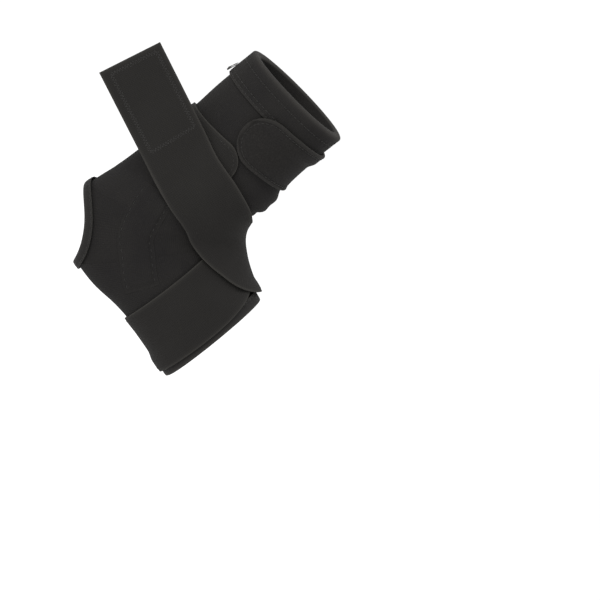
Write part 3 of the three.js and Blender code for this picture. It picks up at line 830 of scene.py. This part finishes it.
def model_hook(stem, bend, width):
    """One hook of the hook tape: a strand that stands up and curls over by half a turn."""
    length = stem + bend * np.pi
    points, faces = model_strand(length, width, 5, 6)
    along = points[:, 0] + length / 2
    curl = np.maximum(along - stem, 0) / bend
    rise = np.minimum(along, stem)
    forward = bend * (1 - np.cos(curl)) - points[:, 2] * np.cos(curl)
    up = rise + bend * np.sin(curl) + points[:, 2] * np.sin(curl)
    return np.stack([forward, points[:, 1], up], -1), faces


def copied(name, shape, places, material):
    """Copies of one modelled shape, in one piece. places holds groups of the middles, forward
    directions and normals of the copies."""
    points, faces = shape
    middle, forward, normal = (np.concatenate(part) for part in zip(*places))
    forward = unit(forward - dot(forward, normal)[:, None] * normal)
    axes = np.stack([forward, np.cross(normal, forward), normal], 1)
    placed = middle[:, None] + np.einsum("pa,nac->npc", points, axes)
    starts = range(0, len(middle) * len(points), len(points))
    mesh = bpy.data.meshes.new(name)
    all_faces = [[v + start for v in face] for start in starts for face in faces]
    mesh.from_pydata(placed.reshape(-1, 3).tolist(), [], all_faces)
    uv = np.array([(points[v, 0] + points[v, 1], points[v, 0]) for face in faces for v in face])
    mesh.uv_layers.new(name="cloth").data.foreach_set("uv", np.tile(uv, (len(middle), 1)).ravel())
    mesh.polygons.foreach_set("use_smooth", np.ones(len(mesh.polygons), bool))
    mesh.update()
    mesh.materials.append(material)
    piece = bpy.data.objects.new(name, mesh)
    bpy.context.scene.collection.objects.link(piece)
    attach(piece, "root")


def sew(name, rows, seams):
    """Stitches along every row, in one piece. A row holds the points of its line with their normals;
    each stitch lies between two needle holes."""
    places = []
    for line, normals, pitch in rows:
        along = run_of(line, 0)
        number = max(1, int(round(along[-1] / pitch)))
        centres = (np.arange(number) + 0.5) * along[-1] / number
        ahead, behind = np.minimum(centres + 0.0004, along[-1]), np.maximum(centres - 0.0004, 0)
        at = lambda values, where: np.stack([np.interp(where, along, values[:, i]) for i in range(3)], -1)
        forward = at(line, ahead) - at(line, behind)
        places.append((at(line, centres), forward, unit(at(normals, centres))))
    copied(name, model_stitch(seams.stitch_length, seams.thread_width), places,
           sewing_thread())


def row_on_edge(edge, distance, height, pitch):
    """Seam line that runs round an edge of the sleeve."""
    spots, inward = edge
    there = walk(spots, inward, distance)
    close = lambda a: np.vstack([a, a[:1]])
    return close(raised(there, height)), close(there.normal), pitch


def row_on_band(band, distance, across, height, pitch):
    point, normal, _ = band.surface(distance, across, height)
    return point, normal, pitch


# Sizes and colours


def length(name, description, default):
    return bpy.props.FloatProperty(name=name, description=description, default=default, min=0.0, soft_max=1.0,
                                   precision=4, unit="LENGTH")


def shade(name, description, default):
    return bpy.props.StringProperty(name=name, description=description, default=default)


class BraceSizes(bpy.types.PropertyGroup):
    """Sizes of the cloth pieces."""

    collar_depth: length("Collar depth", "Turned band on the outside of the cuff", 0.021)
    collar_lining: length("Collar lining", "Part of the collar turned in over the edge", 0.007)
    collar_thickness: length("Collar thickness", "Cloth of the collar", 0.0016)
    binding_width: length("Heel binding", "Tape over the edge of the heel opening", 0.005)
    hem_width: length("Foot binding", "Tape over the edge of the foot opening", 0.007)
    binding_thickness: length("Tape thickness", "Cloth of the binding tape", 0.0012)
    loop_width: length("Loop width", "Blank loop at the back of the cuff", 0.011)
    loop_reach: length("Loop reach", "Length of the blank loop", 0.0072)
    tab_width: length("Tab width", "Closing tab of the cuff", 0.038)
    tab_thickness: length("Tab thickness", "Cloth of the closing tab", 0.0022)
    stay_width: length("Stay width", "Reinforcing strip on the outer side", 0.025)
    stay_thickness: length("Stay thickness", "Cloth of the reinforcing strip", 0.001)
    strap_width: length("Strap width", "Figure-of-eight strap", 0.045)
    strap_thickness: length("Strap thickness", "Elastic of the strap", 0.0018)
    strap_corner: length("Strap corner", "Radius of the corners at the sewn end", 0.015)
    tail_length: length("Tail length", "Free end of the strap", 0.088)
    patch_length: length("Hook patch", "Hook tape on the tail's inner face", 0.058)
    patch_thickness: length("Hook patch thickness", "Base of the hook tape", 0.0009)


class BraceSeams(bpy.types.PropertyGroup):
    """Thread and stitches."""

    stitch_length: length("Stitch length", "Thread that shows between two needle holes", 0.0024)
    stitch_pitch: length("Stitch pitch", "From one stitch to the next", 0.0031)
    thread_width: length("Thread width", "Thickness of the thread as it lies", 0.0005)


class BraceColours(bpy.types.PropertyGroup):
    """Colours as sRGB hex values."""

    jersey: shade("Jersey", "Knitted face of the neoprene", "#1e1d1c")
    # The lighter jersey and elastic colours also paint the highlight on edges, rims and folds
    jersey_light: shade("Jersey, rubbed and highlit", "Raised and rubbed threads, and painted highlight on edges and folds", "#403e3b")
    jersey_dark: shade("Jersey, deep", "Hollows and shaded patches", "#1a1919")
    loop: shade("Loop cloth", "Brushed face of the closing tab", "#191817")
    elastic: shade("Elastic", "Woven face of the strap", "#1c1b1a")
    elastic_light: shade("Elastic, rubbed and highlit", "Raised cords, and edges of the strap with painted highlight", "#504e4a")
    elastic_dark: shade("Elastic, deep", "Shaded patches of the strap", "#1a1918")
    binding: shade("Binding", "Tape over the edges", "#1b1a19")
    loop_tape: shade("Blank loop", "Woven tape of the small loop", "#4c4b49")
    hook: shade("Hook tape", "Hook tape under the tail", "#1d1c1c")
    thread: shade("Thread", "Sewing thread", "#232221")
    thread_light: shade("Thread, raised", "Light on the thread's twist", "#3a3836")


class BraceStudio(bpy.types.PropertyGroup):
    """Floor, light and camera."""

    floor_drop: length("Floor drop", "From the origin down to the floor", 0.42)
    floor_radius: length("Floor radius", "Radius of the floor", 9.0)
    backdrop: shade("Backdrop", "Colour of the floor and the air behind", "#fefefe")
    lens: bpy.props.FloatProperty(name="Lens", description="Focal length of the camera", default=85.0,
                                  min=10.0, unit="CAMERA")
    distance: length("Camera distance", "From the camera to the middle of the view", 0.99)


# Operators


class BRACE_OT_sleeve(bpy.types.Operator):
    """Makes the neoprene sleeve with its open heel"""

    bl_idname = "brace.sleeve"
    bl_label = "Sleeve"
    above, at_heel, in_foot, around = 52, 60, 30, 170

    def execute(self, context):
        stations = np.concatenate([
            HEEL_TOP * np.arange(self.above) / self.above,
            heel_station(np.pi * np.arange(self.at_heel + 1) / self.at_heel),
            mix(HEEL_FOOT, LAST_STATION, np.arange(1, self.in_foot + 1) / self.in_foot),
        ])
        row = np.arange(len(stations))
        opened = (row > self.above) & (row < self.above + self.at_heel)
        span = np.where(opened, half_span(stations), np.pi)
        share = 2 * np.arange(self.around + 1) / self.around - 1
        spots = Spots(stations[:, None], span[:, None] * share[None, :])
        station, angle = spots.station, spots.angle
        # Worn jersey is nowhere quite even
        waves = (np.sin(3 * angle + 1.1 * station) + np.sin(5 * angle - 1.7 * station + 1)) * 0.00006
        waves = waves + np.sin(11 * angle + 2.3 * station + 2) * 0.00004
        # The waves and creases run out before the sewn edges
        from_cuff, from_foot = smooth((station - 1.4) / 0.5), smooth((LAST_STATION - 0.6 - station) / 0.5)
        beside_heel = smooth((1 - np.abs(share))[None, :] * span[:, None] / 0.5)
        heel_ends = np.minimum(np.abs(station - HEEL_TOP), np.abs(station - HEEL_FOOT))
        beyond_heel = smooth((heel_ends + (np.pi - np.abs(angle))) / 0.9)
        from_heel = np.where(opened[:, None], beside_heel, beyond_heel)
        shift = from_cuff * from_foot * from_heel * (waves + bumps(CREASES, station, angle))
        outer, inner = raised(spots, shift), raised(spots, shift - WALL)
        cloth = Cloth()
        over, under = cloth.add(outer), cloth.add(inner)
        over[~opened, -1], under[~opened, -1] = over[~opened, 0], under[~opened, 0]
        middle = self.around // 2
        round_by = run_of(outer, 1)
        round_by = round_by - round_by[:, middle:middle + 1] + 0.3
        down_by = np.broadcast_to(run_of(outer, 0).mean(1, keepdims=True), round_by.shape)
        uv = np.stack([round_by, down_by], -1)
        cloth.shell(over, under, uv, sides=slice(self.above, self.above + self.at_heel + 1))
        piece = cloth.finish("sleeve_cloth", neoprene_jersey())
        declare_cloth(piece, "sleeve", (0.27, 0.255))
        return {"FINISHED"}


class BRACE_OT_collar(bpy.types.Operator):
    """Makes the turned collar of the cuff and its seams"""

    bl_idname = "brace.collar"
    bl_label = "Collar"

    def execute(self, context):
        sizes, seams = context.scene.brace_sizes, context.scene.brace_seams
        edge = round_edge(0, 1, 220)
        # One seam runs under the fold and a pair along the collar's lower edge
        lines = (0.006, sizes.collar_depth - 0.0017, sizes.collar_depth - 0.0046)
        piece = folded_piece("collar_cloth", edge, neoprene_jersey(), sizes.collar_depth,
                             sizes.collar_lining, sizes.collar_thickness, SEAM_GAP, lines)
        declare_cloth(piece, "top_collar", (0.031, 0.24))
        top = SEAM_GAP + sizes.collar_thickness - THREAD_SUNK
        rows = [row_on_edge(edge, line, top, seams.stitch_pitch) for line in lines]
        sew("collar_stitches", rows, seams)
        return {"FINISHED"}


class BRACE_OT_blank_loop(bpy.types.Operator):
    """Makes the small blank loop of woven tape that is sewn in at the back of the cuff"""

    bl_idname = "brace.blank_loop"
    bl_label = "Blank loop"

    def execute(self, context):
        sizes = context.scene.brace_sizes
        edge, inward = round_edge(0, 1, 220)
        # It is sewn to the collar at the middle of the back and hangs a little off it
        start = Spots(edge.station[:1], edge.angle[:1])
        seat = walk(start, inward[:1], sizes.collar_depth - sizes.loop_reach)
        sideways, normal, down = unit(seat.around[0]), seat.normal[0], inward[0]
        hang = unit(down + LOOP_LEAN * normal)
        thick = unit(normal - LOOP_LEAN * down)
        foot = raised(seat, SEAM_GAP + sizes.collar_thickness + 0.0003)[0]
        across = np.linspace(-0.5, 0.5, 17) * sizes.loop_width
        turn = np.linspace(0, np.pi, 13)
        fold, cloth_half = 0.0004, 0.00022
        straight = np.linspace(0, sizes.loop_reach - fold, 12)
        faces = []
        for side in (1, -1):
            # Down one leg, round the fold and back along the other
            gap = fold + side * cloth_half
            out = np.concatenate([straight[:-1], straight[-1] + gap * np.sin(turn), straight[-2::-1]])
            leg = np.full(len(straight) - 1, gap)
            off = np.concatenate([leg, gap * np.cos(turn), -leg])
            curl = 0.0005 * np.sin(np.pi * across / sizes.loop_width)[:, None] * (out / sizes.loop_reach) ** 2
            faces.append(foot + hang * out[None, :, None] + thick * (off + curl)[..., None]
                         + sideways * across[:, None, None])
        along = np.broadcast_to(run_of(faces[0], 1).mean(0), faces[0].shape[:2])
        uv = np.stack([np.broadcast_to(across[:, None], along.shape) + 0.05, along], -1)
        cloth = Cloth()
        cloth.shell(cloth.add(faces[0], 0.1), cloth.add(faces[1], 0), uv)
        piece = cloth.finish("blank_loop_tape", woven_tape())
        declare_cloth(piece, None, (0.011, 0.0145))
        return {"FINISHED"}


class BRACE_OT_bindings(bpy.types.Operator):
    """Makes the tapes over the edges of the heel and foot openings, and their seams"""

    bl_idname = "brace.bindings"
    bl_label = "Bindings"

    def execute(self, context):
        sizes, seams = context.scene.brace_sizes, context.scene.brace_seams
        tape = binding_tape()
        # Piece, node, edge, width of each leg, gap, distance of the seam from the edge, flat size
        made = (
            ("heel_binding_tape", "heel_binding", heel_edge(184),
             sizes.binding_width, HEEL_GAP, 0.0038, (0.0165, 0.19)),
            ("foot_binding_tape", "foot_binding", round_edge(LAST_STATION, -1, 220),
             sizes.hem_width, SEAM_GAP, 0.0055, (0.018, 0.245)),
        )
        for name, node, edge, width, gap, line, flat in made:
            piece = folded_piece(name, edge, tape, width, width, sizes.binding_thickness, gap, (line,))
            declare_cloth(piece, node, flat)
            top = gap + sizes.binding_thickness - THREAD_SUNK
            row = row_on_edge(edge, line, top, seams.stitch_pitch)
            sew(name.replace("tape", "stitches"), [row], seams)
        return {"FINISHED"}


class BRACE_OT_cuff_tab(bpy.types.Operator):
    """Makes the closing tab with its round end, and its seams"""

    bl_idname = "brace.cuff_tab"
    bl_label = "Cuff tab"

    def execute(self, context):
        sizes, seams = context.scene.brace_sizes, context.scene.brace_seams
        over_collar = SEAM_GAP + sizes.collar_thickness + LAY_GAP
        collar_edge = walk(*round_edge(0, 1, 34), sizes.collar_depth).station.max()

        def lift(station, _layer):
            return mix(over_collar, LAY_GAP, smooth((station - collar_edge - 0.06) / 0.4))

        band = Band(TAB_ROUTE[::-1], sizes.tab_width, sizes.tab_thickness, lift)
        corner = sizes.tab_width / 2
        inset = 0.0032
        piece = band_piece("cuff_tab_cloth", band, brushed_loop(), corner, 34, (inset,),
                           welt=0.0027)
        declare_cloth(piece, "cuff_tab", (0.038, 0.135))
        turn = np.linspace(np.pi / 2, 0, 30)
        quarter = (corner - (corner - inset) * np.sin(turn), (corner - inset) * np.cos(turn))
        straight = np.linspace(corner, band.total - 0.004, 60)
        along = np.concatenate([straight[::-1], quarter[0][::-1], quarter[0][1:], straight[1:]])
        side = corner - inset
        across = np.concatenate([np.full(60, side), quarter[1][::-1], -quarter[1][1:], np.full(59, -side)])
        top = sizes.tab_thickness - 0.0002
        row = row_on_band(band, along, across, top, seams.stitch_pitch)
        sew("cuff_tab_stitches", [row], seams)
        return {"FINISHED"}


class BRACE_OT_side_stay(bpy.types.Operator):
    """Makes the reinforcing strip on the outer side, and its dotted seams"""

    bl_idname = "brace.side_stay"
    bl_label = "Side stay"

    def execute(self, context):
        sizes, seams = context.scene.brace_sizes, context.scene.brace_seams
        # The strip lies close on the jersey and its padded edges run out flat, so only the seams show
        band = Band(STAY_ROUTE, sizes.stay_width, sizes.stay_thickness,
                    lambda station, _layer: np.full(station.shape, STAY_SEAT))
        inset = 0.0025
        piece = band_piece("side_stay_cloth", band, neoprene_jersey(), 0, 22, (inset,),
                           soft_edge=0.005)
        declare_cloth(piece, "side_stay", (0.025, 0.08))
        along = np.linspace(0.004, band.total - 0.002, 80)
        side = sizes.stay_width / 2 - inset
        top = 0.5 * sizes.stay_thickness - 0.0003
        rows = [row_on_band(band, along, place * side, top, 1.6 * seams.stitch_pitch) for place in (-1, 1)]
        sew("side_stay_stitches", rows, seams)
        return {"FINISHED"}


def strap_band(sizes):
    hem = walk(*round_edge(LAST_STATION, -1, 34), sizes.hem_width).station.min()

    def lift(station, layer):
        over_hem = smooth((station - hem + 0.65) / 0.45)
        pass_height = sizes.strap_thickness + PASS_GAP
        # Pulled tight, the second pass presses the first one flat where both cross the hem
        over_hem = over_hem * (1 - 0.6 * layer)
        return LAY_GAP + over_hem * (SEAM_GAP + sizes.binding_thickness) + layer * pass_height

    return Band(STRAP_ROUTE, sizes.strap_width, sizes.strap_thickness, lift, tail=sizes.tail_length)


class BRACE_OT_strap(bpy.types.Operator):
    """Makes the elastic strap in its figure of eight, with its free tail and seams"""

    bl_idname = "brace.strap"
    bl_label = "Strap"

    def execute(self, context):
        sizes, seams = context.scene.brace_sizes, context.scene.brace_seams
        band = strap_band(sizes)
        piece = band_piece("strap_webbing", band, elastic_webbing(), sizes.strap_corner,
                           24, (0.0012,))
        declare_cloth(piece, "figure_eight_strap", (0.045, 0.655))
        top = sizes.strap_thickness - 0.0001
        half, corner, inset = sizes.strap_width / 2, sizes.strap_corner, 0.003
        turn = np.linspace(0, np.pi / 2, 16)
        bend = (corner - (corner - inset) * np.sin(turn), half - corner + (corner - inset) * np.cos(turn))
        run = np.linspace(0.021, corner, 12)
        side = np.full(len(run), half - inset)
        along = np.concatenate([run, bend[0], bend[0][::-1], run[::-1]])
        across = np.concatenate([side, bend[1], -bend[1][::-1], -side])
        row = row_on_band(band, along, across, top, seams.stitch_pitch)
        sew("strap_stitches", [row], seams)
        # The hook patch is sewn on by zigzag rows, of which the inner one slants
        start, end = band.total - PATCH_FROM_END - sizes.patch_length, band.total - 0.0045
        sides = (-half + 0.0048, half - 0.0068)
        zigzag = []
        for place in sides:
            first = start - 0.0012 * np.sign(place) + 0.0005
            zigzag.append((np.linspace(first, end, 2), np.full(2, place)))
        zigzag.append((np.array([start - 0.0007, start + 0.0017]), np.array(sides)[::-1]))
        zigzag.append((np.full(2, end), np.array(sides)))
        rows = []
        for along, across in zigzag:
            run = math.hypot(along[1] - along[0], across[1] - across[0])
            teeth = 2 * int(run / 0.0019)
            share = np.linspace(0, 1, teeth + 1)
            swing = 0.001 * (-1.0) ** np.arange(teeth + 1)
            way = np.array([along[1] - along[0], across[1] - across[0]]) / run
            at = mix(along[0], along[1], share) - way[1] * swing
            beside = mix(across[0], across[1], share) + way[0] * swing
            rows.append(row_on_band(band, at, beside, top, 0.0017))
        sew("hook_patch_stitches", rows, seams)
        return {"FINISHED"}


class BRACE_OT_hook_patch(bpy.types.Operator):
    """Makes the hook tape on the inner face of the strap's tail"""

    bl_idname = "brace.hook_patch"
    bl_label = "Hook patch"

    def execute(self, context):
        sizes = context.scene.brace_sizes
        band = strap_band(sizes)
        half = sizes.strap_width / 2 - 0.005
        start = band.total - PATCH_FROM_END - sizes.patch_length
        along, across = np.meshgrid(np.linspace(start, start + sizes.patch_length, 60),
                                    np.linspace(-half, half, 36), indexing="ij")
        cloth = Cloth()
        from_end = np.minimum(along - start, start + sizes.patch_length - along)
        left = np.minimum(half - np.abs(across), from_end)
        keeps = near_edge(left, 0.0005)
        upper, *_ = band.surface(along, across, -SEAM_GAP - sizes.patch_thickness * (1 - keeps) / 2)
        lower, *_ = band.surface(along, across, -SEAM_GAP - sizes.patch_thickness * (1 + keeps) / 2)
        uv = np.stack([across + half, along], -1)
        cloth.shell(cloth.add(upper, 0), cloth.add(lower, 0), uv)
        piece = cloth.finish("hook_patch_tape", hook_tape())
        declare_cloth(piece, "strap_hook_patch", (0.035, 0.058))
        # Rows of hooks, which curl over towards the tail's end
        rows, columns = int(sizes.patch_length / HOOK_PITCH), int(2 * half / HOOK_PITCH)
        along, across = np.meshgrid(start + (np.arange(rows) + 0.5) * sizes.patch_length / rows,
                                    half * ((2 * np.arange(columns) + 1) / columns - 1), indexing="ij")
        across = across + 0.25 * HOOK_PITCH * (-1.0) ** np.arange(rows)[:, None]
        foot, normal, forward = (part.reshape(-1, 3) for part in band.surface(
            along, across, -SEAM_GAP - sizes.patch_thickness + 0.0001))
        hook = model_hook(stem=0.0006, bend=0.0003, width=0.0002)
        copied("hook_patch_hooks", hook, [(foot, forward, -normal)], hook_tape())
        return {"FINISHED"}


class BRACE_OT_studio(bpy.types.Operator):
    """Makes the pale floor, the soft lights and the camera"""

    bl_idname = "brace.studio"
    bl_label = "Studio"

    def execute(self, context):
        studio = context.scene.brace_studio
        pale = from_hex(studio.backdrop)
        deselect_all()
        bpy.ops.mesh.primitive_circle_add(vertices=96, radius=studio.floor_radius, fill_type="TRIFAN",
                                          location=(0, 0, -studio.floor_drop))
        floor = context.object
        floor.name = "studio_floor"
        bpy.ops.object.transform_apply(location=True, rotation=True, scale=True)
        # Matt paper: plain and pale, with no gloss
        paper, tree = new_material("matt_studio_paper")
        if tree:
            grain = add_node(tree, "TexNoise", "Fac", {"Scale": 3.0, "Detail": 2.0})
            tones = {6: pale, 7: from_hex("#fdfdfd")}
            tint = add_node(tree, "Mix", 2, {"data_type": "RGBA", **tones}, {0: grain})
            shader = add_node(tree, "BsdfPrincipled", "BSDF", {"Roughness": 1.0, "Specular IOR Level": 0.0},
                              {"Base Color": tint})
            add_node(tree, "OutputMaterial", None, {}, {"Surface": shader})
        floor.data.materials.append(paper)
        world = bpy.data.worlds.new("studio_air")
        world.use_nodes = True
        air = world.node_tree.nodes["Background"].inputs
        # A little over one, so that floor and air both turn out white and no horizon shows
        air["Color"].default_value, air["Strength"].default_value = pale, 1.04
        context.scene.world = world
        context.scene.view_settings.view_transform = "Standard"
        lights = (
            ("key_softbox", (-0.5, -0.6, 0.4), 0.5, 4.4),
            ("fill_softbox", (1.2, -1.0, 0.4), 1.0, 3.0),
            ("top_softbox", (0.1, 0.5, 1.5), 1.0, 8.0),
        )
        for name, place, size, power in lights:
            lamp = bpy.data.lights.new(name, "AREA")
            lamp.shape, lamp.size, lamp.energy = "DISK", size, power
            holder = bpy.data.objects.new(name, lamp)
            holder.location = place
            aim = Vector((0.02, 0, 0.03)) - Vector(place)
            holder.rotation_euler = aim.to_track_quat("-Z", "Y").to_euler()
            context.scene.collection.objects.link(holder)
        azimuth, elevation = math.radians(-6), math.radians(12)
        level = math.cos(elevation)
        back = Vector((math.sin(azimuth) * level, -math.cos(azimuth) * level, math.sin(elevation)))
        right = Vector((math.cos(azimuth), math.sin(azimuth), 0))
        up = back.cross(right)
        # The photograph is rolled: the brace leans to the right by 53 degrees
        roll_cos, roll_sin = 0.6018, 0.7986
        image_right = right * roll_cos + up * roll_sin
        image_up = up * roll_cos - right * roll_sin
        camera = bpy.data.cameras.new("photo_camera")
        camera.lens, camera.sensor_width = studio.lens, 36.0
        holder = bpy.data.objects.new("photo_camera", camera)
        # The middle of the view lies in front of the brace, so that it keeps its place in the picture
        aim_right, aim_up = 0.11193, 0.03829
        place = right * aim_right + up * aim_up + back * studio.distance
        matrix = Matrix((image_right, image_up, back)).transposed().to_4x4()
        matrix.translation = place
        holder.matrix_world = matrix
        context.scene.collection.objects.link(holder)
        context.scene.camera = holder
        return {"FINISHED"}


class BRACE_PT_panel(bpy.types.Panel):
    """Lists the brace's steps, sizes and colours"""

    bl_idname = "BRACE_PT_panel"
    bl_label = "Ankle brace"
    bl_space_type = "VIEW_3D"
    bl_region_type = "UI"
    bl_category = "Brace"

    def draw(self, context):
        for step in STEPS:
            self.layout.operator(step.bl_idname)
        for group in GROUPS:
            box = self.layout.box()
            box.label(text=group.__doc__)
            owner = getattr(context.scene, GROUPS[group])
            for name in group.__annotations__:
                box.prop(owner, name)


STEPS = (BRACE_OT_sleeve, BRACE_OT_collar, BRACE_OT_blank_loop, BRACE_OT_bindings, BRACE_OT_cuff_tab,
         BRACE_OT_side_stay, BRACE_OT_strap, BRACE_OT_hook_patch, BRACE_OT_studio)
GROUPS = {BraceSizes: "brace_sizes", BraceSeams: "brace_seams", BraceColours: "brace_colours",
          BraceStudio: "brace_studio"}


def register():
    for group, name in GROUPS.items():
        bpy.utils.register_class(group)
        setattr(bpy.types.Scene, name, bpy.props.PointerProperty(type=group))
    for step in (*STEPS, BRACE_PT_panel):
        bpy.utils.register_class(step)


def unregister():
    for step in (BRACE_PT_panel, *reversed(STEPS)):
        bpy.utils.unregister_class(step)
    for group, name in GROUPS.items():
        delattr(bpy.types.Scene, name)
        bpy.utils.unregister_class(group)


def main():
    register()
    for step in STEPS:
        area, name = step.bl_idname.split(".")
        getattr(getattr(bpy.ops, area), name)()


if __name__ == "__main__":
    main()
